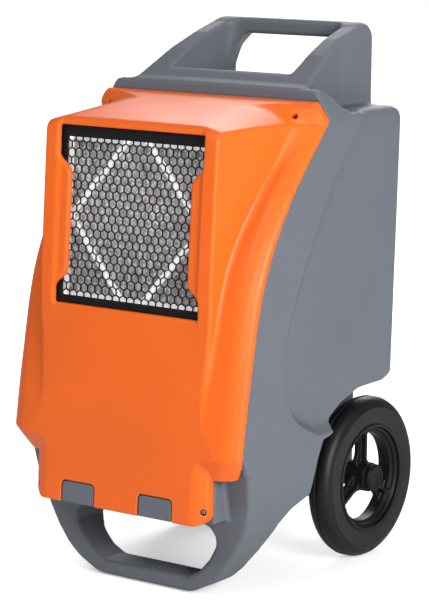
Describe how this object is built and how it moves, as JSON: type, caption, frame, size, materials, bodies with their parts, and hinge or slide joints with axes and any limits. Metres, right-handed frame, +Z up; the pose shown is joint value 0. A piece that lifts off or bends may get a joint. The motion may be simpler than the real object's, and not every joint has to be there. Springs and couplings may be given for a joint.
{
  "type": "commercial dehumidifier",
  "caption": "Wheeled refrigerant dehumidifier in a roto-moulded housing with a moulded front cover, hex-mesh air intake, top handle, front foot loop and rear air outlet.",
  "frame": {"origin": "on the ground, at the centre of the machine's bounding rectangle", "axes": "+Z up, the intake front faces -Y, +X is to the right when facing the front; the wheel axle is parallel to X at y = +0.146 m"},
  "size_m": [0.428, 0.546, 0.838],
  "materials": {
    "grey_body": "fine orange-peel roto-moulded skin",
    "orange_cover": "satin moulded skin",
    "black_plastic": "moulded, semi-matte",
    "black_mesh": "powder coat",
    "filter_media": "fine non-woven pad",
    "bright_steel": "bright sheet and wire",
    "zinc_steel": "zinc plated",
    "fin_aluminium": "thin stacked fins",
    "copper": "drawn copper tube",
    "galvanised": "galvanised sheet",
    "compressor_black": "gloss black enamel",
    "rubber_black": "plain",
    "tyre_black": "smooth semi-pneumatic tyre",
    "rim_black": "moulded nylon",
    "switch_red": "gloss",
    "white_plastic": "plain"
  },
  "bodies": {
    "housing": {"body_shell": "grey_body", "front_cover": "orange_cover", "cover_screw_top_left": "zinc_steel", "cover_screw_top_right": "zinc_steel", "cover_screw_bottom_left": "zinc_steel", "cover_screw_bottom_right": "zinc_steel", "intake_grille": "black_mesh", "grille_frame": "black_plastic", "air_filter": "filter_media", "filter_retainer": "bright_steel", "coil_casing": "bright_steel", "evaporator_fins": "fin_aluminium", "condenser_fins": "fin_aluminium", "evaporator_tube": "copper", "condenser_tube": "copper", "drain_pan": "galvanised", "chassis_deck": "galvanised", "compressor": "compressor_black", "compressor_grommet_1": "rubber_black", "compressor_grommet_2": "rubber_black", "compressor_grommet_3": "rubber_black", "accumulator": "compressor_black", "filter_drier": "copper", "discharge_line": "copper", "liquid_line": "copper", "expansion_line": "copper", "suction_line": "copper", "fan_shroud": "galvanised", "fan_motor": "compressor_black", "motor_bracket": "galvanised", "outlet_grille": "black_mesh", "control_panel": "black_plastic", "hour_meter": "black_plastic", "control_box": "galvanised", "pump_reservoir": "white_plastic", "pump_head": "black_plastic", "drain_hose": "rubber_black", "outlet_hose": "rubber_black", "hose_connector": "zinc_steel", "power_cord": "rubber_black", "power_plug": "rubber_black", "cable_gland": "black_plastic", "cord_hook_left": "black_plastic", "cord_hook_right": "black_plastic", "axle": "zinc_steel", "hub_cap_left": "rim_black", "axle_spacer_left": "zinc_steel", "hub_cap_right": "rim_black", "axle_spacer_right": "zinc_steel"},
    "wheel_left": {"tyre_left": "tyre_black", "rim_left": "rim_black", "wheel_bush_left": "white_plastic"},
    "wheel_right": {"tyre_right": "tyre_black", "rim_right": "rim_black", "wheel_bush_right": "white_plastic"},
    "fan": {"fan_impeller": "black_plastic"},
    "switch": {"power_switch": "switch_red"},
    "button": {"purge_button": "white_plastic"},
    "knob": {"humidistat_knob": "black_plastic"},
    "float": {"pump_float": "white_plastic"}
  },
  "joints": [
    {"name": "wheel_left_spin", "type": "hinge", "parent": "housing", "child": "wheel_left", "pos_m": [-0.16, 0.146, 0.127], "axis": [1, 0, 0], "continuous": true},
    {"name": "wheel_right_spin", "type": "hinge", "parent": "housing", "child": "wheel_right", "pos_m": [0.16, 0.146, 0.127], "axis": [1, 0, 0], "continuous": true},
    {"name": "fan_spin", "type": "hinge", "parent": "housing", "child": "fan", "pos_m": [0, 0.144, 0.5], "axis": [0, 1, 0], "continuous": true},
    {"name": "power_switch_rock", "type": "hinge", "parent": "housing", "child": "switch", "pos_m": [-0.08, 0.1913, 0.666], "axis": [1, 0, 0], "range_deg": [0, 20]},
    {"name": "purge_button_press", "type": "slide", "parent": "housing", "child": "button", "axis": [0, -1, 0], "range_m": [0, 0.003], "stiffness_N_per_m": 300},
    {"name": "humidistat_turn", "type": "hinge", "parent": "housing", "child": "knob", "pos_m": [0.082, 0.201, 0.666], "axis": [0, 1, 0], "range_deg": [0, 270]},
    {"name": "pump_float_rise", "type": "slide", "parent": "housing", "child": "float", "axis": [0, 0, 1], "range_m": [0, 0.015]}
  ]
}
